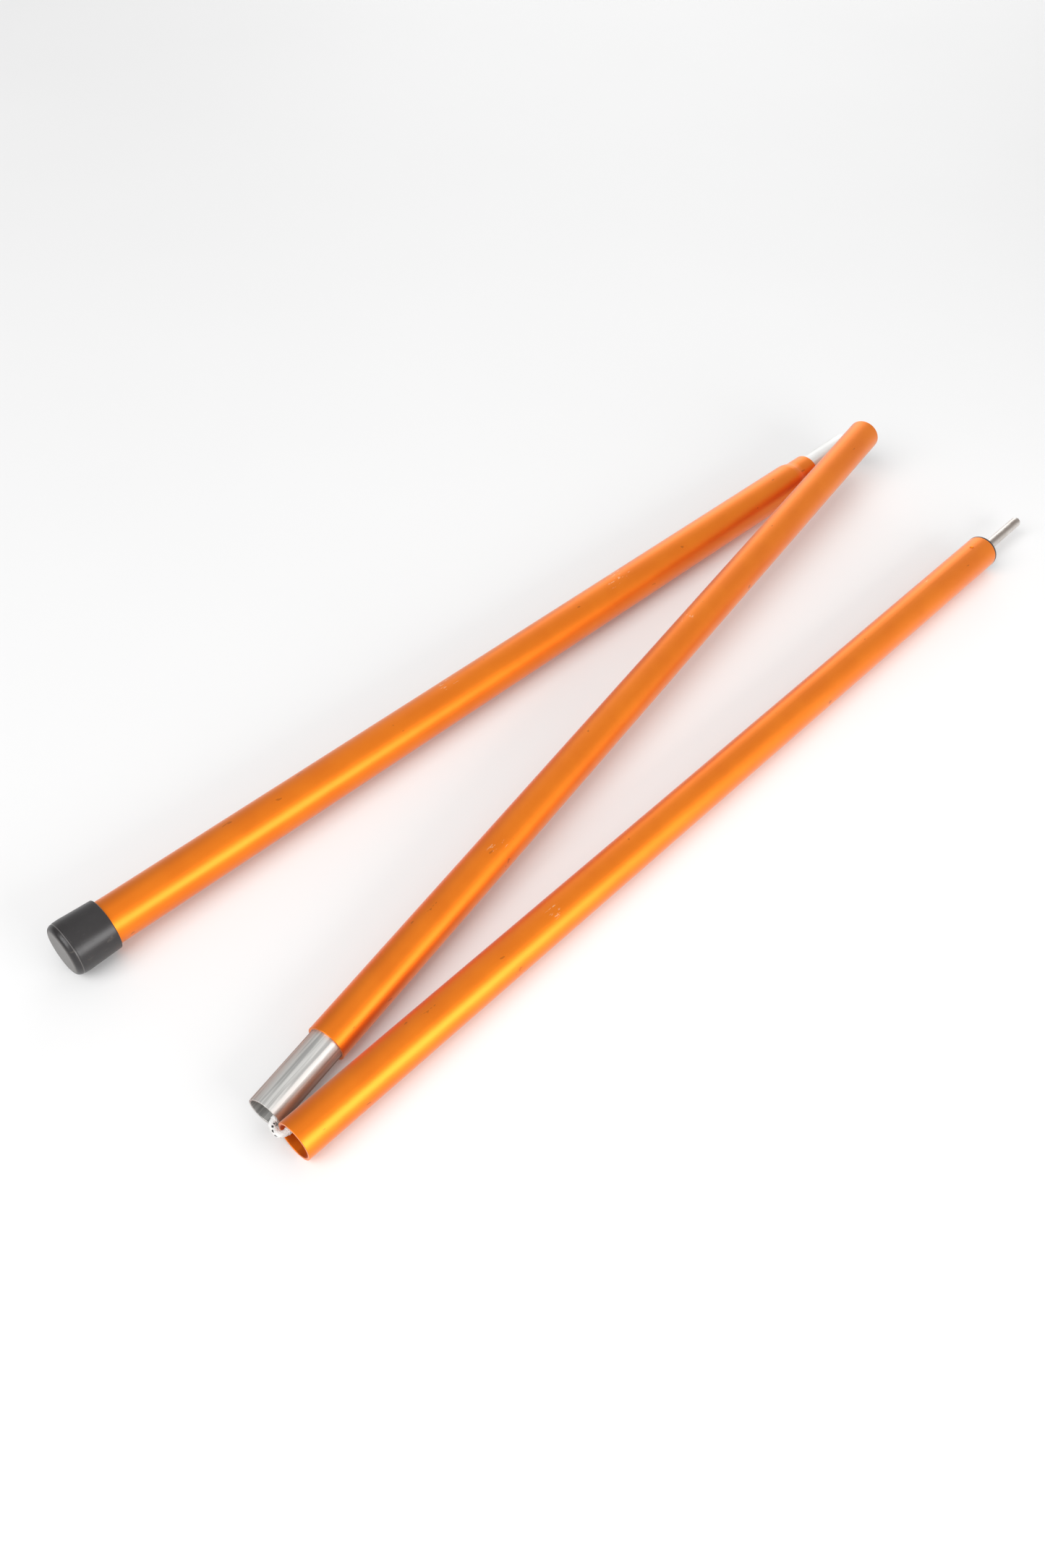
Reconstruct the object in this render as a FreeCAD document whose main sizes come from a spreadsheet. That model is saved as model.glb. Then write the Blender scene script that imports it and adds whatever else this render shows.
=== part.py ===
import FreeCAD, Part
import math
import os
import re

import Sketcher

# A folding aluminium pole lying on the ground: three tubes on one elastic cord, folded into a zigzag.
# Every section has its own frame: Z runs along its tube, and the section's place on the ground is below.
# Millimetres and degrees.

DIMENSIONS = {
    # tubes
    "tube_outer_radius": 9.5,
    "tube_inner_radius": 8.3,
    "middle_tube_length": 517.2,
    "tip_tube_length": 515.5,
    "foot_tube_outer_radius": 11.0,
    "foot_tube_inner_radius": 9.8,
    "foot_tube_length": 520.0,
    "neck_outer_radius": 9.8,
    "neck_length": 12.0,
    "neck_taper": 4.0,
    "neck_round": 12.0,
    "rim_round": 0.2,
    # ferrules: one half pressed into its tube, the other half bare
    "ferrule_outer_radius": 8.2,
    "ferrule_inner_radius": 7.3,
    "ferrule_seated": 38.0,
    "ferrule_bare": 38.3,
    # rubber foot cap
    "cap_mouth_radius": 12.5,
    "cap_widest_radius": 13.15,
    "cap_widest_height": 6.5,
    "cap_end_radius": 12.9,
    "cap_end_length": 3.4,
    "cap_step_radius": 13.08,
    "cap_step": 0.2,
    "cap_length": 22.65,
    "cap_grip": 19.6,
    "cap_end_round": 3.0,
    "cap_rim_round": 0.5,
    # plugs
    "foot_plug_flange_radius": 10.7,
    "foot_plug_flange": 1.2,
    "foot_plug_body": 12.0,
    "foot_plug_pocket_radius": 5.6,
    "foot_plug_pocket": 8.6,
    "cord_hole_radius": 2.2,
    "tip_plug_flange": 1.0,
    "tip_plug_body": 24.0,
    "tip_plug_pocket_radius": 6.3,
    "tip_plug_pocket": 10.0,
    "tip_plug_lip_radius": 5.6,
    "tip_plug_lip": 1.2,
    # spike
    "pin_radius": 2.9,
    "pin_shank_radius": 2.5,
    "pin_relief": 0.6,
    "pin_free": 39.7,
    "pin_seated": 13.3,
    "pin_nose": 1.2,
    "pin_nose_radius": 2.4,
    "pin_nose_round": 0.5,
    # punch mark that holds the tip plug
    "punch_from_end": 12.0,
    "punch_turn": 7.0,
    "punch_ball_radius": 1.5,
    "punch_depth": 0.7,
    # cord, its knots and their washers
    "cord_radius": 1.5,
    "knot_radius": 4.4,
    "knot_length": 7.0,
    "knot_round": 2.2,
    "washer_hole_radius": 2.0,
    "foot_washer_radius": 5.2,
    "tip_washer_radius": 6.2,
    "washer_thickness": 1.0,
}

# Where each section lies: a point on its axis, its heading from +X and its rise, in degrees.
# The foot section's point is the mouth of its cap. The others' is the near end of their tube.
SECTIONS = {
    "foot": {"point": (-264.58, 68.37, 13.1), "heading": 0.0825, "rise": -0.2464},
    "middle": {"point": (-231.60, -45.83, 9.55), "heading": 11.484, "rise": 1.662},
    "tip": {"point": (-268.53, -72.02, 9.5), "heading": 2.399, "rise": 0.0},
}

# The corners where the bare cord turns, in the order that it passes them: how far beyond its mouth
# each lies, how far off that mouth's axis, and the radius of its arc.
CORNERS = {
    "foot": (3.0, 4.7, 4.0),
    "middle_far": (3.7, 4.7, 3.9),
    "middle_near": (2.5, 5.3, 3.1),
    "tip": (2.4, 5.5, 3.1),
}

Z_AXIS = FreeCAD.Vector(0, 0, 1)

document = FreeCAD.newDocument("folding_pole")


def make_sheet():
    sheet = document.addObject("Spreadsheet::Sheet", "Dimensions")
    for row, (alias, amount) in enumerate(DIMENSIONS.items(), start=1):
        sheet.set(f"A{row}", alias)
        sheet.set(f"B{row}", str(amount))
        sheet.setAlias(f"B{row}", alias)
    document.recompute()
    return sheet


sheet = make_sheet()


def bound(formula):
    """The same formula with each dimension read from the sheet."""
    return re.sub(r"[a-z]\w*", lambda word: "Dimensions." + word.group(0), formula)


def amount(formula):
    return float(sheet.evalExpression(bound(formula)))


def section_frame(section):
    place = SECTIONS[section]
    turn = FreeCAD.Rotation(Z_AXIS, place["heading"])
    lay_down = FreeCAD.Rotation(FreeCAD.Vector(0, 1, 0), 90 - place["rise"])
    return FreeCAD.Placement(FreeCAD.Vector(*place["point"]), turn.multiply(lay_down))


def lay(piece, section, along):
    """Put a piece that is drawn from its own lower end onto a section's axis."""
    offset = FreeCAD.Placement(FreeCAD.Vector(0, 0, amount(along)), FreeCAD.Rotation())
    piece.Placement = section_frame(section).multiply(offset)
    return piece


def on_axis(section, along):
    return section_frame(section).multVec(FreeCAD.Vector(0, 0, along))


def direction(section):
    return section_frame(section).Rotation.multVec(Z_AXIS)


# ---------------------------------------------------------------- turned pieces


def origin_plane(body, role):
    return [plane for plane in body.Origin.OriginFeatures if plane.Role == role][0]


def pin_corner(sketch, line, radius, height):
    """Hold the start of a line at a radius and a height, both formulas."""
    for kind, formula, axis in (("DistanceX", radius, -2), ("DistanceY", height, -1)):
        if formula == "0":
            sketch.addConstraint(Sketcher.Constraint("PointOnObject", line, 1, axis))
            continue
        rule = Sketcher.Constraint(kind, -1, 1, line, 1, amount(formula))
        number = sketch.addConstraint(rule)
        sketch.setExpression(f"Constraints[{number}]", bound(formula))


def turned(label, outline):
    """A body of revolution about Z. The outline's corners are (radius, height) formulas."""
    body = document.addObject("PartDesign::Body", label)
    sketch = body.newObject("Sketcher::SketchObject", label + "_outline")
    sketch.AttachmentSupport = [(origin_plane(body, "XZ_Plane"), "")]
    sketch.MapMode = "FlatFace"
    corners = [FreeCAD.Vector(amount(radius), amount(height), 0) for radius, height in outline]
    count = len(corners)
    for line in range(count):
        sketch.addGeometry(Part.LineSegment(corners[line], corners[(line + 1) % count]), False)
    for line in range(count):
        following = (line + 1) % count
        sketch.addConstraint(Sketcher.Constraint("Coincident", line, 2, following, 1))
    for line, (radius, height) in enumerate(outline):
        pin_corner(sketch, line, radius, height)
    turn = body.newObject("PartDesign::Revolution", label + "_turn")
    turn.Profile = sketch
    turn.ReferenceAxis = (sketch, ["V_Axis"])
    turn.Angle = 360
    document.recompute()
    return body


def rounded(body, size, places):
    """Round the circular edges of a turned body that lie at the given (radius, height) formulas."""
    base = body.Tip
    names = []
    for radius, height in places:
        for index, edge in enumerate(base.Shape.Edges, start=1):
            curve = edge.Curve
            if not isinstance(curve, Part.Circle):
                continue
            off_radius = abs(curve.Radius - amount(radius))
            off_height = abs(curve.Center.z - amount(height))
            if max(off_radius, off_height) < 0.01:
                names.append(f"Edge{index}")
    if len(names) != len(places):
        raise ValueError(f"{body.Label}: {len(names)} edges found for {len(places)} places")
    fillet = body.newObject("PartDesign::Fillet", f"{body.Label}_{size}")
    fillet.Base = (base, names)
    fillet.Radius = amount(size)
    fillet.setExpression("Radius", bound(size))
    document.recompute()
    return body


def ring(outer, inner, low, high):
    """The outline of a plain ring or tube."""
    return [(inner, low), (outer, low), (outer, high), (inner, high)]


# ---------------------------------------------------------------- sub-parts


def tube(label, length):
    body = turned(label, ring("tube_outer_radius", "tube_inner_radius", "0", length))
    rims = [
        (radius, height)
        for radius in ("tube_outer_radius", "tube_inner_radius")
        for height in ("0", length)
    ]
    return rounded(body, "rim_round", rims)


def foot_tube():
    """The larger tube, swaged down at its far end to the bore of the other two."""
    taper_start = "foot_tube_length - neck_length - neck_taper"
    taper_end = "foot_tube_length - neck_length"
    outline = [
        ("foot_tube_inner_radius", "0"),
        ("foot_tube_outer_radius", "0"),
        ("foot_tube_outer_radius", taper_start),
        ("neck_outer_radius", taper_end),
        ("neck_outer_radius", "foot_tube_length"),
        ("tube_inner_radius", "foot_tube_length"),
        ("tube_inner_radius", "foot_tube_length - ferrule_seated"),
        ("foot_tube_inner_radius", "foot_tube_length - ferrule_seated - neck_taper"),
    ]
    body = turned("foot_tube", outline)
    shoulder = [("foot_tube_outer_radius", taper_start), ("neck_outer_radius", taper_end)]
    rounded(body, "neck_round", shoulder)
    mouth = [
        (radius, "foot_tube_length") for radius in ("neck_outer_radius", "tube_inner_radius")
    ]
    rounded(body, "rim_round", mouth)
    return lay(body, "foot", "0 - cap_grip")


def ferrule(label, section, seated_first, along):
    """A short sleeve: its seated half fills the tube's bore, its bare half slides in the next."""
    length = "ferrule_seated + ferrule_bare"
    if seated_first:
        step, low_radius, high_radius = "ferrule_seated", "tube_inner_radius", "ferrule_outer_radius"
        mouth = length
    else:
        step, low_radius, high_radius = "ferrule_bare", "ferrule_outer_radius", "tube_inner_radius"
        mouth = "0"
    outline = [
        ("ferrule_inner_radius", "0"),
        (low_radius, "0"),
        (low_radius, step),
        (high_radius, step),
        (high_radius, length),
        ("ferrule_inner_radius", length),
    ]
    body = turned(label, outline)
    rims = [("ferrule_outer_radius", mouth), ("ferrule_inner_radius", mouth)]
    return lay(rounded(body, "rim_round", rims), section, along)


def foot_cap():
    """A moulded cap that swells a little toward its closed end, where a fine step meets its rounding."""
    floor = "cap_length - cap_grip - foot_plug_flange"
    outline = [
        ("0", "0"),
        ("cap_end_radius", "0"),
        ("cap_end_radius", "cap_end_length"),
        ("cap_step_radius", "cap_end_length + cap_step"),
        ("cap_widest_radius", "cap_widest_height"),
        ("cap_mouth_radius", "cap_length"),
        ("foot_tube_outer_radius", "cap_length"),
        ("foot_tube_outer_radius", floor),
        ("0", floor),
    ]
    body = turned("foot_cap", outline)
    rounded(body, "cap_end_round", [("cap_end_radius", "0")])
    rounded(body, "cap_rim_round", [("cap_mouth_radius", "cap_length")])
    return lay(body, "foot", "0 - cap_length")


def foot_plug():
    """Closes the foot tube and holds the knot in a pocket that faces the cap."""
    length = "foot_plug_flange + foot_plug_body"
    outline = [
        ("foot_plug_pocket_radius", "0"),
        ("foot_plug_flange_radius", "0"),
        ("foot_plug_flange_radius", "foot_plug_flange"),
        ("foot_tube_inner_radius", "foot_plug_flange"),
        ("foot_tube_inner_radius", length),
        ("cord_hole_radius", length),
        ("cord_hole_radius", "foot_plug_pocket"),
        ("foot_plug_pocket_radius", "foot_plug_pocket"),
    ]
    return lay(turned("foot_plug", outline), "foot", "0 - cap_grip - foot_plug_flange")


def tip_plug():
    """Closes the tip tube, grips the spike and holds the knot behind an inner lip."""
    length = "tip_plug_body + tip_plug_flange"
    seat = length + " - pin_seated"
    outline = [
        ("tip_plug_lip_radius", "0"),
        ("tube_inner_radius", "0"),
        ("tube_inner_radius", "tip_plug_body"),
        ("tube_outer_radius", "tip_plug_body"),
        ("tube_outer_radius", length),
        ("pin_shank_radius", length),
        ("pin_shank_radius", seat),
        ("0", seat),
        ("0", "tip_plug_pocket"),
        ("tip_plug_pocket_radius", "tip_plug_pocket"),
        ("tip_plug_pocket_radius", "tip_plug_lip"),
        ("tip_plug_lip_radius", "tip_plug_lip"),
    ]
    body = turned("tip_plug", outline)
    rounded(body, "rim_round", [("tube_outer_radius", length)])
    return lay(body, "tip", "tip_tube_length - tip_plug_body")


def tip_pin():
    """The spike, with a thinner shank that its plug grips and a short relief above the plug."""
    length = "pin_seated + pin_free"
    shoulder = "pin_seated + pin_relief"
    outline = [
        ("0", "0"),
        ("pin_shank_radius", "0"),
        ("pin_shank_radius", shoulder),
        ("pin_radius", shoulder),
        ("pin_radius", length + " - pin_nose"),
        ("pin_nose_radius", length),
        ("0", length),
    ]
    body = turned("tip_pin", outline)
    rounded(body, "pin_nose_round", [("pin_nose_radius", length)])
    return lay(body, "tip", "tip_tube_length + tip_plug_flange - pin_seated")


def tip_tube():
    """The last tube, with the small punch mark that locks its plug."""
    blank = tube("tip_tube_blank", "tip_tube_length")
    ball = document.addObject("Part::Sphere", "tip_punch")
    ball.setExpression("Radius", bound("punch_ball_radius"))
    turn = math.radians(amount("punch_turn"))
    reach = amount("tube_outer_radius + punch_ball_radius - punch_depth")
    height = amount("tip_tube_length - punch_from_end")
    ball.Placement.Base = FreeCAD.Vector(-reach * math.cos(turn), reach * math.sin(turn), height)
    cut = document.addObject("Part::Cut", "tip_tube")
    cut.Base = blank
    cut.Tool = ball
    document.recompute()
    return lay(cut, "tip", "0")


def washer(label, outer, section, along):
    body = turned(label, ring(outer, "washer_hole_radius", "0", "washer_thickness"))
    return lay(body, section, along)


def knot(label, section, along):
    outline = [("0", "0"), ("knot_radius", "0"), ("knot_radius", "knot_length"), ("0", "knot_length")]
    body = turned(label, outline)
    rounded(body, "knot_round", [("knot_radius", "0"), ("knot_radius", "knot_length")])
    return lay(body, section, along)


# ---------------------------------------------------------------- elastic cord

FOOT_KNOT_END = "0 - cap_grip - foot_plug_flange + foot_plug_pocket - washer_thickness"
TIP_WASHER_START = "tip_tube_length - tip_plug_body + tip_plug_lip"


def toward(start, end, axis):
    """The direction from start to end, square to an axis."""
    gap = end - start
    gap = gap - axis * gap.dot(axis)
    return gap.normalize()


def corner_points():
    """The four points where the cord turns back, just outside the open mouths."""
    foot_mouth = on_axis("foot", amount("foot_tube_length - cap_grip + ferrule_bare"))
    middle_far = on_axis("middle", amount("middle_tube_length"))
    middle_near = on_axis("middle", -amount("ferrule_bare"))
    tip_mouth = on_axis("tip", 0)
    foot_line, middle_line, tip_line = (direction(name) for name in ("foot", "middle", "tip"))

    def corner(name, mouth, facing, outward):
        reach, offset, _ = CORNERS[name]
        return mouth + outward * reach + toward(mouth, facing, outward) * offset

    return [
        corner("foot", foot_mouth, middle_far, foot_line),
        corner("middle_far", middle_far, foot_mouth, middle_line),
        corner("middle_near", middle_near, tip_mouth, middle_line * -1),
        corner("tip", tip_mouth, middle_near, tip_line * -1),
    ]


def turn_at(before, corner, after, radius):
    """The arc that rounds a corner: where it starts, its middle, where it ends and its radius."""
    back = (before - corner).normalize()
    ahead = (after - corner).normalize()
    half_inside = back.getAngle(ahead) / 2
    trim = radius / math.tan(half_inside)
    bisector = (back + ahead).normalize()
    centre = corner + bisector * (radius / math.sin(half_inside))
    return corner + back * trim, centre - bisector * radius, corner + ahead * trim, radius


def cord_run(label, start, end):
    """A straight stretch of cord inside a section."""
    run = document.addObject("Part::Cylinder", label)
    run.setExpression("Radius", bound("cord_radius"))
    run.Height = (end - start).Length
    run.Placement = FreeCAD.Placement(start, FreeCAD.Rotation(Z_AXIS, end - start))
    document.recompute()
    return run


def cord_bend(label, first, second):
    """The bare stretch between two mouths: two arcs and the short run between them."""
    path = Part.Wire(
        [
            Part.Arc(*first[:3]).toShape(),
            Part.LineSegment(first[2], second[0]).toShape(),
            Part.Arc(*second[:3]).toShape(),
        ]
    )
    heading = path.Edges[0].tangentAt(path.Edges[0].FirstParameter)
    section = Part.Wire(Part.Circle(first[0], heading, amount("cord_radius")).toShape())
    bend = document.addObject("Part::Feature", label)
    bend.Shape = path.makePipeShell([section], True, False)
    bend.Placement = FreeCAD.Placement()
    expected = math.pi * amount("cord_radius") ** 2 * path.Length
    straight = (second[0] - first[2]).Length
    print(f"{label}: radii {first[3]:.2f} {second[3]:.2f}, straight {straight:.2f}, length {path.Length:.2f}")
    print(f"{label}: volume {bend.Shape.Volume:.2f}, section times length {expected:.2f}")
    return bend


def elastic_cord():
    knot_end = on_axis("foot", amount(FOOT_KNOT_END))
    last_knot = on_axis("tip", amount(TIP_WASHER_START + " + washer_thickness"))
    route = [knot_end] + corner_points() + [last_knot]
    radii = [radius for _, _, radius in CORNERS.values()]
    turns = [turn_at(*route[index : index + 3], radii[index]) for index in range(4)]
    pieces = [
        cord_run("cord_in_foot", knot_end, turns[0][0]),
        cord_bend("cord_upper_bend", turns[0], turns[1]),
        cord_run("cord_in_middle", turns[1][2], turns[2][0]),
        cord_bend("cord_lower_bend", turns[2], turns[3]),
        cord_run("cord_in_tip", turns[3][2], last_knot),
    ]
    lengths = [(last_knot - turns[3][2]).Length, (turns[2][0] - turns[1][2]).Length]
    lengths.append((turns[0][0] - knot_end).Length)
    print("straight cord inside the sections:", [round(length, 1) for length in lengths])
    return pieces


# ---------------------------------------------------------------- assembly


def build():
    pieces = [
        foot_cap(),
        foot_plug(),
        washer("foot_washer", "foot_washer_radius", "foot", FOOT_KNOT_END),
        knot("foot_knot", "foot", FOOT_KNOT_END + " - knot_length"),
        foot_tube(),
        ferrule("foot_ferrule", "foot", True, "foot_tube_length - cap_grip - ferrule_seated"),
        lay(tube("middle_tube", "middle_tube_length"), "middle", "0"),
        ferrule("middle_ferrule", "middle", False, "0 - ferrule_bare"),
        tip_tube(),
        tip_plug(),
        tip_pin(),
        washer("tip_washer", "tip_washer_radius", "tip", TIP_WASHER_START),
        knot("tip_knot", "tip", TIP_WASHER_START + " + washer_thickness"),
    ]
    return pieces + elastic_cord()


def check_document():
    document.recompute()
    for item in document.Objects:
        if any(state in ("Invalid", "Error") for state in item.State):
            raise ValueError(f"{item.Label} did not compute: {item.State}")


def write(pieces):
    os.makedirs("parts", exist_ok=True)
    for piece in pieces:
        shape = piece.Shape
        if shape.isNull() or not shape.isValid() or len(shape.Solids) != 1:
            raise ValueError(f"{piece.Label} is not one valid solid")
        shape.exportStep(f"parts/{piece.Label}.step")
        print(f"{piece.Label}: {shape.Volume:.1f} mm3")


pieces = build()
check_document()
write(pieces)
box = Part.makeCompound([piece.Shape for piece in pieces]).BoundBox
print(f"X {box.XMin:.2f} {box.XMax:.2f} Y {box.YMin:.2f} {box.YMax:.2f} Z {box.ZMin:.2f} {box.ZMax:.2f}")
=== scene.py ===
import math

import bmesh
import bpy
from mathutils import Matrix, Quaternion, Vector


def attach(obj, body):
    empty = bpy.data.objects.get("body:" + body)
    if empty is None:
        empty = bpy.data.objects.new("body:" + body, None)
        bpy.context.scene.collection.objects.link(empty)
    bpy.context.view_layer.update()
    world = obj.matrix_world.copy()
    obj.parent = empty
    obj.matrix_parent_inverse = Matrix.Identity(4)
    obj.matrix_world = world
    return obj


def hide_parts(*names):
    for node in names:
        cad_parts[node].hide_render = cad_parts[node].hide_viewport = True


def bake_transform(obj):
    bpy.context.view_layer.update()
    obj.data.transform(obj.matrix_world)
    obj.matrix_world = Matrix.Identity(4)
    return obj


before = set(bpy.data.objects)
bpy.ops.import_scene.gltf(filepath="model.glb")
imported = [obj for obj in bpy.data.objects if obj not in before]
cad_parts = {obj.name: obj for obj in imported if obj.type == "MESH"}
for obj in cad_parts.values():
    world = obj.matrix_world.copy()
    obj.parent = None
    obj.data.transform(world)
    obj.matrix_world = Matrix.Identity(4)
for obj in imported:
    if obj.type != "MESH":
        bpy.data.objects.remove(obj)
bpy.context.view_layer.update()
MM = 0.001

# ---------------------------------------------------------------- camera

CAMERA_PLACE = Vector((-381.83, -319.4, 499.9)) * MM
CAMERA_HEADING = 46.03
CAMERA_DOWN = 47.60
CAMERA_LENS = 31.16


def make_camera():
    data = bpy.data.cameras.new("camera")
    data.sensor_width = 36
    data.lens = CAMERA_LENS
    data.clip_start = 0.01
    camera = bpy.data.objects.new("camera", data)
    camera.location = CAMERA_PLACE
    camera.rotation_euler = (math.radians(90 - CAMERA_DOWN), 0, math.radians(CAMERA_HEADING - 90))
    bpy.context.scene.collection.objects.link(camera)
    bpy.context.scene.camera = camera


# ---------------------------------------------------------------- sections

# Each section's tube axis, as a point on it and a heading and rise in degrees, like the CAD's frames.
SECTIONS = {
    "foot": {"point": Vector((-264.58, 68.37, 13.1)) * MM, "heading": 0.0825, "rise": -0.2464},
    "middle": {"point": Vector((-231.60, -45.83, 9.55)) * MM, "heading": 11.484, "rise": 1.662},
    "tip": {"point": Vector((-268.53, -72.02, 9.5)) * MM, "heading": 2.399, "rise": 0.0},
}


def section_turn(section):
    """The rotation that lays a section's own Z along its tube."""
    place = SECTIONS[section]
    turn = Matrix.Rotation(math.radians(place["heading"]), 4, "Z")
    return turn @ Matrix.Rotation(math.radians(90 - place["rise"]), 4, "Y")


def direction(section):
    return (section_turn(section) @ Vector((0, 0, 1))).normalized()


def on_axis(section, along):
    place = Matrix.Translation(SECTIONS[section]["point"])
    return place @ section_turn(section) @ Vector((0, 0, along))


# ---------------------------------------------------------------- material helpers


class Graph:
    """Short names for building one material's nodes."""

    def __init__(self, name):
        self.material = bpy.data.materials.new(name)
        self.material.use_nodes = True
        self.nodes = self.material.node_tree.nodes
        self.links = self.material.node_tree.links
        self.shader = self.nodes["Principled BSDF"]

    def add(self, kind, **settings):
        node = self.nodes.new(kind)
        for key, value in settings.items():
            setattr(node, key, value)
        return node

    def feed(self, socket, source):
        if hasattr(source, "is_output"):
            self.links.new(source, socket)
        else:
            socket.default_value = source

    def section_space(self, section):
        """Coordinates in a section's own frame: Z along the tube, the origin on its axis."""
        place = self.add("ShaderNodeTexCoord").outputs["Object"]
        mapping = self.add("ShaderNodeMapping", vector_type="TEXTURE")
        mapping.inputs["Location"].default_value = SECTIONS[section]["point"]
        mapping.inputs["Rotation"].default_value = section_turn(section).to_euler()
        self.links.new(place, mapping.inputs["Vector"])
        return mapping.outputs["Vector"]

    def split(self, vector):
        node = self.add("ShaderNodeSeparateXYZ")
        self.links.new(vector, node.inputs["Vector"])
        return [node.outputs[axis] for axis in "XYZ"]

    def stretched(self, vector, scale):
        mapping = self.add("ShaderNodeMapping", vector_type="POINT")
        mapping.inputs["Scale"].default_value = scale
        self.links.new(vector, mapping.inputs["Vector"])
        return mapping.outputs["Vector"]

    def noise(self, vector, scale, detail=4.0, roughness=0.55):
        node = self.add("ShaderNodeTexNoise")
        self.links.new(vector, node.inputs["Vector"])
        node.inputs["Scale"].default_value = scale
        node.inputs["Detail"].default_value = detail
        node.inputs["Roughness"].default_value = roughness
        return node.outputs["Fac"]

    def math(self, operation, *sources):
        node = self.add("ShaderNodeMath", operation=operation)
        for socket, source in zip(node.inputs, sources):
            self.feed(socket, source)
        return node.outputs["Value"]

    def scaled(self, source, factor):
        return self.math("MULTIPLY", source, factor)

    def added(self, first, second):
        return self.math("ADD", first, second)

    def ramp(self, source, low, high):
        """source between low and high, as 0 to 1, held outside."""
        node = self.add("ShaderNodeMapRange", clamp=True, interpolation_type="SMOOTHSTEP")
        for name, value in (("Value", source), ("From Min", low), ("From Max", high)):
            self.feed(node.inputs[name], value)
        return node.outputs["Result"]

    def mix(self, factor, first, second):
        node = self.add("ShaderNodeMix", data_type="RGBA")
        self.feed(node.inputs["Factor"], factor)
        self.feed(node.inputs["A"], first)
        self.feed(node.inputs["B"], second)
        return node.outputs["Result"]

    def tinted(self, colour, mask, strength, tint):
        """colour, turned towards tint where mask is high."""
        return self.mix(self.scaled(mask, strength), colour, tint)

    def bump(self, height, strength, distance):
        node = self.add("ShaderNodeBump")
        self.links.new(height, node.inputs["Height"])
        node.inputs["Strength"].default_value = strength
        node.inputs["Distance"].default_value = distance
        return node.outputs["Normal"]

    def finish(self, **sockets):
        for name, source in sockets.items():
            self.feed(self.shader.inputs[name.replace("_", " ")], source)
        return self.material


def rgb(red, green, blue):
    return (red, green, blue, 1.0)


# ---------------------------------------------------------------- materials


# Rubbed places on each tube: how far along it in metres, how long, and the side, as a turn in degrees
# about its axis.
RUBS = {
    "foot": [(0.205, 0.016, 150), (0.330, 0.024, 165), (0.438, 0.008, 120)],
    "middle": [(0.120, 0.012, 200), (0.300, 0.015, 170)],
    "tip": [(0.150, 0.010, 190), (0.462, 0.008, 150)],
}
# How far from the axis, towards its side, a rub starts and is at its strongest.
RUB_HEIGHTS = (8.6 * MM, 9.4 * MM)


def rub_mask(graph, space, section):
    """Small areas where the dye is scratched, broken up by noise."""
    across, aside, along = graph.split(space)
    broken = graph.noise(graph.stretched(space, (1.0, 1.0, 0.30)), 900, 4, 0.6)
    total = None
    for place, length, side in RUBS[section]:
        turn = math.radians(side)
        near = graph.math("ABSOLUTE", graph.math("SUBTRACT", along, place))
        near = graph.ramp(near, length / 2, length / 5)
        facing = graph.added(
            graph.scaled(across, math.cos(turn)), graph.scaled(aside, math.sin(turn))
        )
        patch = graph.math("MULTIPLY", near, graph.ramp(facing, *RUB_HEIGHTS))
        total = patch if total is None else graph.math("MAXIMUM", total, patch)
    return graph.math("MULTIPLY", total, graph.ramp(broken, 0.60, 0.66))


def anodised(section):
    """Orange anodised tube: fine drawn lines along it, soft colour drift, a few rubs and dark specks."""
    graph = Graph("orange_anodised_" + section)
    space = graph.section_space(section)
    lines = graph.noise(graph.stretched(space, (1.0, 1.0, 0.02)), 900, 3)
    cloud = graph.noise(space, 35, 5)
    grain = graph.noise(space, 2600, 2)
    dark_marks = graph.ramp(graph.noise(graph.stretched(space, (1, 1, 0.5)), 260, 2, 0.4), 0.745, 0.76)
    rubs = rub_mask(graph, space, section)
    deep, warm = rgb(0.84, 0.197, 0.009), rgb(0.88, 0.226, 0.011)
    colour = graph.mix(graph.ramp(cloud, 0.3, 0.7), deep, warm)
    colour = graph.tinted(colour, lines, 0.10, rgb(0.90, 0.30, 0.03))
    colour = graph.tinted(colour, rubs, 0.75, rgb(0.95, 0.60, 0.34))
    colour = graph.tinted(colour, dark_marks, 0.45, rgb(0.36, 0.08, 0.01))
    rough = graph.added(graph.scaled(cloud, 0.08), 0.40)
    rough = graph.added(rough, graph.scaled(lines, 0.05))
    height = graph.added(graph.scaled(grain, 0.4), lines)
    height = graph.math("SUBTRACT", height, rubs)
    normal = graph.bump(height, 0.10, 0.00002)
    return graph.finish(
        Base_Color=colour, Metallic=0.95, Roughness=rough, Normal=normal, Coat_Weight=0.15,
        Coat_Roughness=0.32, Sheen_Weight=0.42, Sheen_Roughness=0.34,
    )


# Dull and bright metal of each ferrule, and the tint of its edges. The middle one's metal is darker, as
# painted shade, and its edges are tinted copper, as a painted reflection of the orange tubes beside it.
FERRULE_TONES_AND_SHADE = {
    "foot": (rgb(0.74, 0.74, 0.73), rgb(0.90, 0.90, 0.88)),
    "middle": (rgb(0.42, 0.42, 0.41), rgb(0.70, 0.70, 0.68)),
}
FERRULE_EDGES_AND_REFLECTION = {"foot": rgb(1.0, 1.0, 1.0), "middle": rgb(0.46, 0.13, 0.06)}


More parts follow.
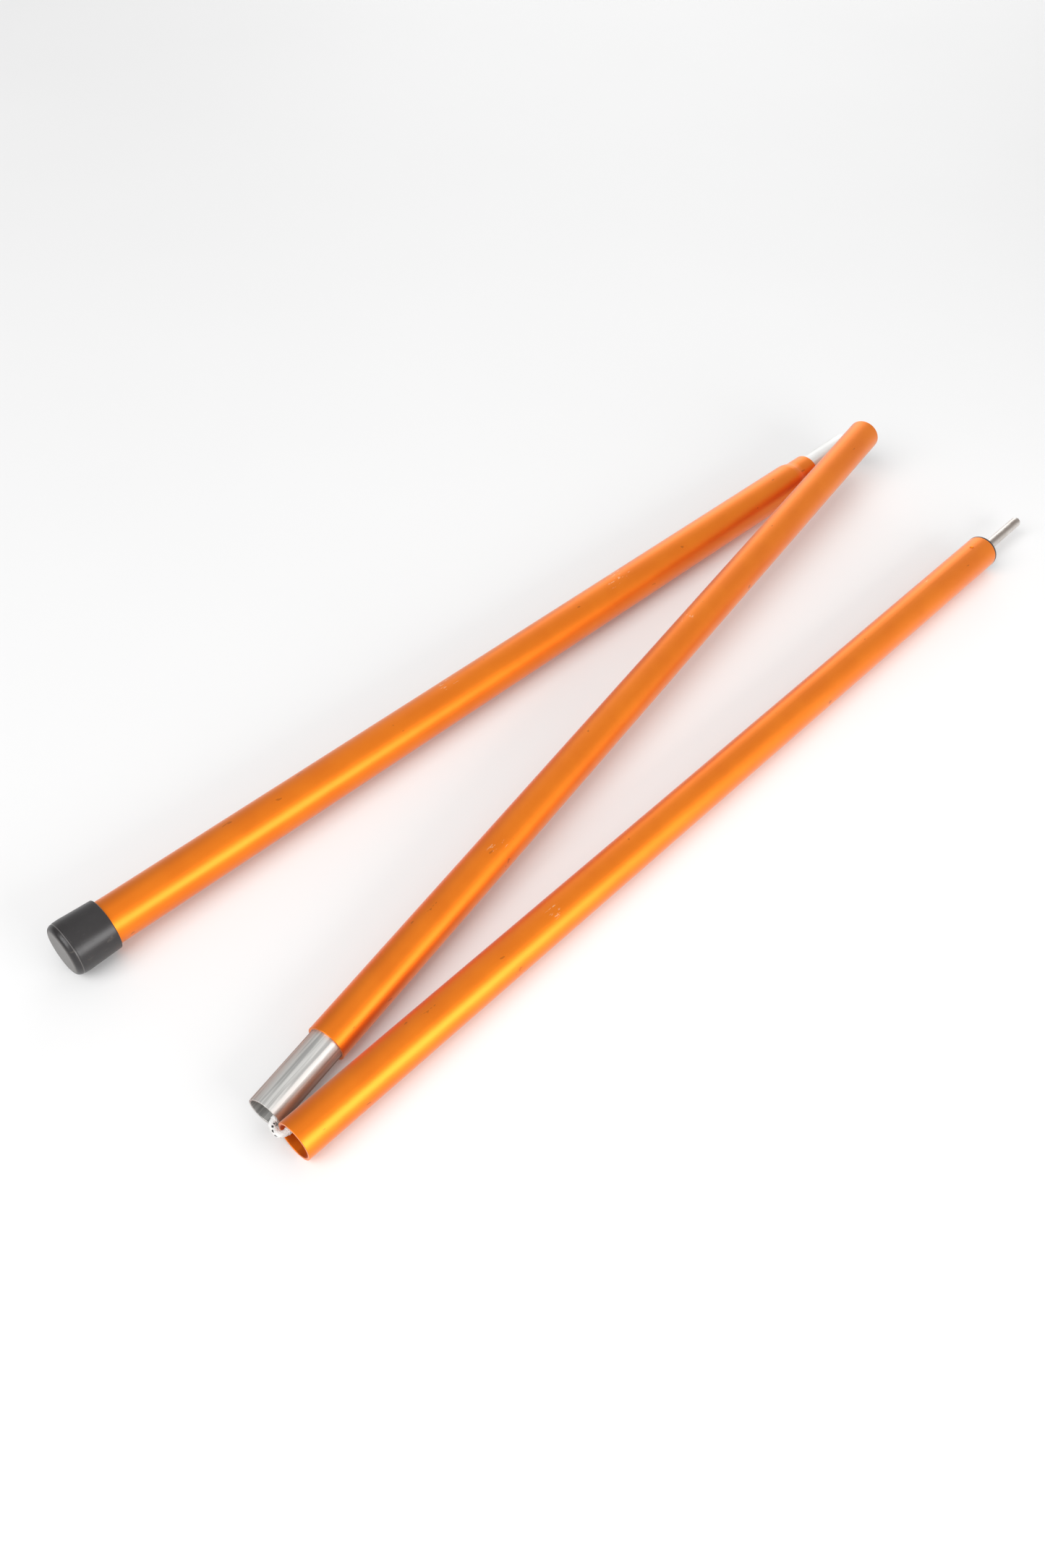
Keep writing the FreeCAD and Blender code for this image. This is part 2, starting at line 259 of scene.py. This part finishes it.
def bare_aluminium(section):
    """Drawn aluminium: long bright and dull lines along the sleeve."""
    graph = Graph("bare_aluminium_" + section)
    space = graph.section_space(section)
    streaks = graph.noise(graph.stretched(space, (1.0, 1.0, 0.03)), 420, 4, 0.6)
    hair = graph.noise(graph.stretched(space, (1.0, 1.0, 0.012)), 2600, 3)
    cloud = graph.noise(space, 60, 3)
    # The middle ferrule's darker tones are painted shade on the same aluminium as the foot ferrule.
    colour = graph.mix(graph.ramp(streaks, 0.40, 0.60), *FERRULE_TONES_AND_SHADE[section])
    colour = graph.tinted(colour, hair, 0.25, rgb(0.55, 0.54, 0.52))
    rough = graph.added(graph.scaled(streaks, 0.12), 0.46)
    rough = graph.added(rough, graph.scaled(cloud, 0.06))
    height = graph.added(graph.scaled(hair, 0.6), streaks)
    normal = graph.bump(height, 0.22, 0.00003)
    # The middle ferrule's copper edge tint is a painted reflection of the orange tubes beside it.
    return graph.finish(
        Base_Color=colour, Metallic=1.0, Roughness=rough, Normal=normal, Anisotropic=0.15,
        Specular_Tint=FERRULE_EDGES_AND_REFLECTION[section],
    )


# Along the foot cap, in its section's frame: where its end face starts, and the ridge round its end,
# which carries a painted highlight.
END_FACE = (-22.1 * MM, -22.6 * MM)
RIDGE_PLACE = -19.8 * MM
RIDGE_EDGE = (0.28 * MM, 0.10 * MM)


def rubber():
    """The moulded foot cap: near black, slightly shiny, dusty, scuffed and pitted, with a painted
    highlight on its ridge.
    """
    graph = Graph("black_rubber")
    space = graph.section_space("foot")
    cloud = graph.noise(space, 90, 5)
    fine = graph.noise(space, 1900, 3)
    scuff = graph.ramp(graph.noise(graph.stretched(space, (1, 1, 0.5)), 230, 5, 0.65), 0.60, 0.72)
    pits = graph.ramp(graph.noise(space, 620, 2, 0.5), 0.66, 0.72)
    along = graph.split(space)[2]
    end_face = graph.ramp(along, *END_FACE)
    ridge_highlight = graph.ramp(graph.math("ABSOLUTE", graph.added(along, -RIDGE_PLACE)), *RIDGE_EDGE)
    colour = graph.mix(cloud, rgb(0.014, 0.012, 0.013), rgb(0.028, 0.026, 0.026))
    colour = graph.tinted(colour, scuff, 0.30, rgb(0.14, 0.12, 0.10))
    colour = graph.tinted(colour, end_face, 0.80, rgb(0.115, 0.105, 0.098))
    # Painted highlight: the ridge round the cap's end is painted a lighter grey. The same band also
    # raises the bump.
    colour = graph.tinted(colour, ridge_highlight, 0.55, rgb(0.16, 0.15, 0.145))
    rough = graph.added(graph.scaled(cloud, 0.12), 0.28)
    rough = graph.added(rough, graph.scaled(scuff, 0.25))
    height = graph.added(graph.scaled(fine, 0.5), cloud)
    height = graph.math("SUBTRACT", height, graph.scaled(pits, 0.8))
    normal = graph.bump(graph.added(height, ridge_highlight), 0.35, 0.00014)
    return graph.finish(Base_Color=colour, Roughness=rough, Normal=normal)


def plastic():
    """The moulded plugs."""
    graph = Graph("black_plastic")
    place = graph.add("ShaderNodeTexCoord").outputs["Object"]
    cloud = graph.noise(place, 120, 4)
    fine = graph.noise(place, 2400, 2)
    colour = graph.mix(cloud, rgb(0.016, 0.015, 0.015), rgb(0.034, 0.032, 0.031))
    rough = graph.added(graph.scaled(cloud, 0.2), 0.35)
    return graph.finish(Base_Color=colour, Roughness=rough, Normal=graph.bump(fine, 0.2, 0.00004))


def turned_normal(graph, space, cloud):
    """Fine marks round the axis, left by turning or stamping."""
    rings = graph.noise(graph.stretched(space, (0.05, 0.05, 1.0)), 2200, 3)
    return graph.bump(graph.added(graph.scaled(rings, 0.8), cloud), 0.15, 0.00003)


def steel(name, pale):
    """Stamped steel, with faint marks round it."""
    graph = Graph(name)
    space = graph.section_space("tip")
    cloud = graph.noise(space, 160, 4)
    dull = rgb(pale * 0.72, pale * 0.68, pale * 0.64)
    colour = graph.mix(graph.ramp(cloud, 0.3, 0.7), dull, rgb(pale, pale * 0.97, pale * 0.94))
    rough = graph.added(graph.scaled(cloud, 0.18), 0.22)
    normal = turned_normal(graph, space, cloud)
    return graph.finish(Base_Color=colour, Metallic=1.0, Roughness=rough, Normal=normal)


# The spike's darker streak: from where to where it darkens, across the spike, at each of its edges.
STREAK_EDGES = ((0.4 * MM, -0.8 * MM), (-2.6 * MM, -1.4 * MM))
STREAK_WANDER = 1.6 * MM


def steel_spike():
    """The turned spike: pale, with a darker brownish streak along one side and fine turning marks."""
    graph = Graph("steel_pin")
    space = graph.section_space("tip")
    cloud = graph.noise(space, 160, 4)
    wander = graph.scaled(graph.math("SUBTRACT", cloud, 0.5), STREAK_WANDER)
    side = graph.added(graph.split(space)[1], wander)
    streak = graph.math("MULTIPLY", *(graph.ramp(side, *edge) for edge in STREAK_EDGES))
    pale = graph.mix(graph.ramp(cloud, 0.3, 0.7), rgb(0.54, 0.49, 0.45), rgb(0.68, 0.64, 0.60))
    colour = graph.tinted(pale, streak, 0.75, rgb(0.26, 0.21, 0.18))
    rough = graph.added(graph.scaled(cloud, 0.15), 0.28)
    normal = turned_normal(graph, space, cloud)
    return graph.finish(Base_Color=colour, Metallic=0.9, Roughness=rough, Normal=normal)


def yarn(name, pale, deep):
    """Braided polyester: faint fibres and a little grime."""
    graph = Graph(name)
    place = graph.add("ShaderNodeTexCoord").outputs["Object"]
    fibres = graph.noise(place, 5200, 3, 0.7)
    grime = graph.noise(place, 260, 4)
    colour = graph.mix(graph.ramp(grime, 0.35, 0.75), pale, deep)
    colour = graph.tinted(colour, fibres, 0.25, deep)
    normal = graph.bump(fibres, 0.35, 0.00004)
    return graph.finish(Base_Color=colour, Roughness=0.75, Normal=normal, Sheen_Weight=0.25)


WHITE_YARN = yarn("white_yarn", rgb(0.86, 0.85, 0.84), rgb(0.62, 0.60, 0.58))
BLACK_YARN = yarn("black_yarn", rgb(0.030, 0.028, 0.030), rgb(0.012, 0.011, 0.012))


def finish_nodes():
    washer_steel = steel("steel_washer", 0.70)
    plug_plastic = plastic()
    plan = {
        "foot_tube": anodised("foot"),
        "middle_tube": anodised("middle"),
        "tip_tube": anodised("tip"),
        "foot_ferrule": bare_aluminium("foot"),
        "middle_ferrule": bare_aluminium("middle"),
        "foot_cap": rubber(),
        "tip_pin": steel_spike(),
        "foot_washer": washer_steel,
        "tip_washer": washer_steel,
        "foot_plug": plug_plastic,
        "tip_plug": plug_plastic,
    }
    for node in ("foot_knot", "tip_knot", "cord_in_foot", "cord_in_middle", "cord_in_tip"):
        plan[node] = WHITE_YARN
    for node, material in plan.items():
        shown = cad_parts[node]
        shown.data.materials.clear()
        shown.data.materials.append(material)


# ---------------------------------------------------------------- braided cord

CORD_RADIUS = 1.5 * MM
STRANDS = 8
BRAID_PITCH = 12 * MM
YARN_HEIGHT = 0.24 * MM
RING_POINTS = 64
RING_STEP = 0.17 * MM
# The braid over the CAD's plain straight cord, just inside each mouth, and how much wider it is, so that
# none of the plain cord shows between its yarns.
SLEEVE_LENGTH = 32 * MM
SLEEVE_STEP = 0.24 * MM
SLEEVE_WIDENING = 1.20
SLEEVE_TRACER = (0, 3)

# The corners where the bare cord turns: how far beyond its mouth, how far off that mouth's axis, and
# the radius of its arc. The same as the CAD's.
CORNERS = {
    "foot": (3.0, 4.7, 4.0),
    "middle_far": (3.7, 4.7, 3.9),
    "middle_near": (2.5, 5.3, 3.1),
    "tip": (2.4, 5.5, 3.1),
}
FERRULE_BARE = 38.3 * MM
FOOT_TUBE_MOUTH = 500.4 * MM
MIDDLE_TUBE_LENGTH = 517.2 * MM
# Where the cord ends, along the foot and the tip section's axes.
CORD_ENDS = {"foot": -13.2 * MM, "tip": 493.7 * MM}


def cord_corners():
    """The points where the bare cord turns, one beyond each mouth that it passes."""
    mouths = {
        "foot": (on_axis("foot", FOOT_TUBE_MOUTH + FERRULE_BARE), direction("foot")),
        "middle_far": (on_axis("middle", MIDDLE_TUBE_LENGTH), direction("middle")),
        "middle_near": (on_axis("middle", -FERRULE_BARE), -direction("middle")),
        "tip": (on_axis("tip", 0), -direction("tip")),
    }
    facing = {"foot": "middle_far", "middle_far": "foot", "middle_near": "tip", "tip": "middle_near"}
    corners = {}
    for name, (mouth, outward) in mouths.items():
        gap = mouths[facing[name]][0] - mouth
        aside = (gap - outward * gap.dot(outward)).normalized()
        reach, offset, _ = CORNERS[name]
        corners[name] = mouth + (outward * reach + aside * offset) * MM
    return corners


def arc_points(before, corner, after, radius, steps=14):
    """Points of the arc that rounds a corner of the route, tangent to both its runs."""
    back = (before - corner).normalized()
    ahead = (after - corner).normalized()
    half_inside = back.angle(ahead) / 2
    centre = corner + (back + ahead).normalized() * (radius / math.sin(half_inside))
    trim = radius / math.tan(half_inside)
    first = corner + back * trim - centre
    last = corner + ahead * trim - centre
    sweep = first.rotation_difference(last)
    axis, angle = sweep.to_axis_angle()
    return [centre + Quaternion(axis, angle * step / steps) @ first for step in range(steps + 1)]


def resampled(points, step):
    """Evenly spaced points along a polyline, both ends kept."""
    lengths = [(after - before).length for before, after in zip(points, points[1:])]
    total = sum(lengths)
    count = max(2, round(total / step))
    result, index, passed = [], 0, 0.0
    for number in range(count + 1):
        want = total * number / count
        while index < len(lengths) - 1 and passed + lengths[index] < want:
            passed += lengths[index]
            index += 1
        share = (want - passed) / lengths[index]
        result.append(points[index].lerp(points[index + 1], min(1.0, share)))
    return result


def braid_height(turn, along):
    """How high the braid stands there, from 0 to 1, and the strand on top: (family, number)."""
    families = []
    for sense in (1, -1):
        place = STRANDS * (turn / math.tau + sense * along / BRAID_PITCH)
        number = math.floor(place)
        off_centre = 2 * (place - number) - 1
        families.append((number, math.sqrt(max(0.0, 1 - off_centre * off_centre))))
    top = (families[0][0] + families[1][0]) % 2
    over, under = families[top], families[1 - top]
    return over[1] * (0.50 + 0.50 * under[1]), (top, over[0] % STRANDS)


def braided(name, points, tracer, step=RING_STEP):
    """A braided sleeve along a path. One strand of it, the tracer, is black."""
    path = resampled(points, step)
    count = len(path)
    tangent = (path[1] - path[0]).normalized()
    side = (Vector((0, 0, 1)) - tangent * tangent.z).normalized()
    grid, strands = [], []
    along = 0.0
    for index, place in enumerate(path):
        ahead = path[min(index + 1, count - 1)] - path[max(index - 1, 0)]
        fresh = ahead.normalized()
        side = (tangent.rotation_difference(fresh) @ side).normalized()
        tangent = fresh
        other = tangent.cross(side)
        if index:
            along += (place - path[index - 1]).length
        ring, tops = [], []
        for number in range(RING_POINTS):
            turn = math.tau * number / RING_POINTS
            height, top = braid_height(turn, along)
            radius = CORD_RADIUS - YARN_HEIGHT * (1 - height)
            ring.append(place + (side * math.cos(turn) + other * math.sin(turn)) * radius)
            tops.append(top)
        grid.append(ring)
        strands.append(tops)
    vertices = [corner for ring in grid for corner in ring]
    faces, dark = [], []
    for index in range(count - 1):
        for number in range(RING_POINTS):
            following = (number + 1) % RING_POINTS
            low, high = index * RING_POINTS, (index + 1) * RING_POINTS
            faces.append((low + number, low + following, high + following, high + number))
            dark.append(strands[index][number] == tracer)
    first, last = len(vertices), len(vertices) + 1
    vertices += [path[0], path[-1]]
    top_ring = (count - 1) * RING_POINTS
    for number in range(RING_POINTS):
        following = (number + 1) % RING_POINTS
        faces.append((first, following, number))
        faces.append((last, top_ring + number, top_ring + following))
        dark += [False, False]
    mesh = bpy.data.meshes.new(name)
    mesh.from_pydata([tuple(corner) for corner in vertices], [], faces)
    mesh.materials.append(WHITE_YARN)
    mesh.materials.append(BLACK_YARN)
    for polygon, is_dark in zip(mesh.polygons, dark):
        polygon.material_index = int(is_dark)
        polygon.use_smooth = True
    mesh.update()
    piece = bpy.data.objects.new(name, mesh)
    bpy.context.scene.collection.objects.link(piece)
    return piece


def make_cord():
    corners = cord_corners()
    foot_end, tip_end = (on_axis(section, along) for section, along in CORD_ENDS.items())
    route = [foot_end, *(corners[name] for name in CORNERS), tip_end]
    arcs = []
    for index, name in enumerate(CORNERS):
        arcs.append(arc_points(*route[index : index + 3], CORNERS[name][2] * MM))
    bends = {"upper": (arcs[0], arcs[1]), "lower": (arcs[2], arcs[3])}
    tracers = {"upper": (0, 3), "lower": (1, 5)}
    for name, (into, out_of) in bends.items():
        bend = braided(f"cord_{name}_braid", [*into, *out_of], tracers[name])
        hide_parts(f"cord_{name}_bend")
        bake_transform(bend)
    straights = {
        "cord_sleeve_foot": (arcs[0][0], foot_end, "foot_section"),
        "cord_sleeve_middle_far": (arcs[1][-1], corners["middle_near"], "middle_section"),
        "cord_sleeve_middle_near": (arcs[2][0], corners["middle_far"], "middle_section"),
        "cord_sleeve_tip": (arcs[3][-1], tip_end, "tip_section"),
    }
    for name, (start, toward, body) in straights.items():
        end = start + (toward - start).normalized() * SLEEVE_LENGTH
        sleeve = braided(name, [start, end], SLEEVE_TRACER, SLEEVE_STEP)
        for corner in sleeve.data.vertices:
            share = (corner.co - start).dot(end - start) / SLEEVE_LENGTH**2
            axis_point = start.lerp(end, share)
            corner.co = axis_point + (corner.co - axis_point) * SLEEVE_WIDENING
        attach(sleeve, body)


# ---------------------------------------------------------------- studio


# Each lamp's place, what it points at, its size and its power.
LAMPS = {
    "key": ((-2.2, 0.1, 2.4), (0, 0, 0), (2.6, 2.6), 88),
    "front_strip": ((0, -0.75, 0.25), (0, 0, 0), (0.62, 0.40), 4.6),
    "back": ((1.9, 1.5, 0.7), (0.1, 0, 0), (1.6, 1.0), 10),
}
# The room is darker towards one side: which way that is, how near to it the light starts and stops
# falling off, and its strength there.
DARK_SIDE = Vector((-0.62, 0.68, 0.38)).normalized()
ROOM_LIGHT = {"From Min": 0.45, "From Max": 0.98, "To Min": 0.72, "To Max": 0.15}
FLOOR_SIZE = 6
FLOOR_BELOW = 0.2 * MM


def lamp(name, place, target, size, power):
    data = bpy.data.lights.new(name, "AREA")
    data.shape = "RECTANGLE"
    data.size, data.size_y = size
    data.energy = power
    light = bpy.data.objects.new(name, data)
    light.location = place
    light.rotation_euler = (Vector(target) - Vector(place)).to_track_quat("-Z", "Y").to_euler()
    bpy.context.scene.collection.objects.link(light)


def make_room():
    world = bpy.data.worlds.new("studio")
    world.use_nodes = True
    bpy.context.scene.world = world
    nodes, links = world.node_tree.nodes, world.node_tree.links
    background = nodes["Background"]
    background.inputs["Color"].default_value = rgb(1, 1, 1)
    way = nodes.new("ShaderNodeTexCoord")
    toward = nodes.new("ShaderNodeVectorMath")
    toward.operation = "DOT_PRODUCT"
    toward.inputs[1].default_value = DARK_SIDE
    links.new(way.outputs["Generated"], toward.inputs[0])
    fall = nodes.new("ShaderNodeMapRange")
    for socket, value in ROOM_LIGHT.items():
        fall.inputs[socket].default_value = value
    links.new(toward.outputs["Value"], fall.inputs["Value"])
    links.new(fall.outputs["Result"], background.inputs["Strength"])


def studio():
    make_room()
    for name, settings in LAMPS.items():
        lamp(name, *settings)
    bpy.context.scene.view_settings.view_transform = "Standard"


def make_floor():
    mesh = bpy.data.meshes.new("floor")
    grid = bmesh.new()
    bmesh.ops.create_grid(grid, x_segments=8, y_segments=8, size=FLOOR_SIZE)
    grid.to_mesh(mesh)
    grid.free()
    floor = bpy.data.objects.new("floor", mesh)
    floor.location.z = -FLOOR_BELOW
    bpy.context.scene.collection.objects.link(floor)
    graph = Graph("pale_floor")
    place = graph.add("ShaderNodeTexCoord").outputs["Object"]
    cloud = graph.noise(place, 3, 3)
    colour = graph.mix(cloud, rgb(0.66, 0.66, 0.66), rgb(0.69, 0.69, 0.69))
    graph.finish(
        Base_Color=colour, Roughness=0.6, Emission_Color=rgb(1, 1, 1), Emission_Strength=0.10
    )
    mesh.materials.append(graph.material)


make_camera()
finish_nodes()
make_cord()
studio()
make_floor()
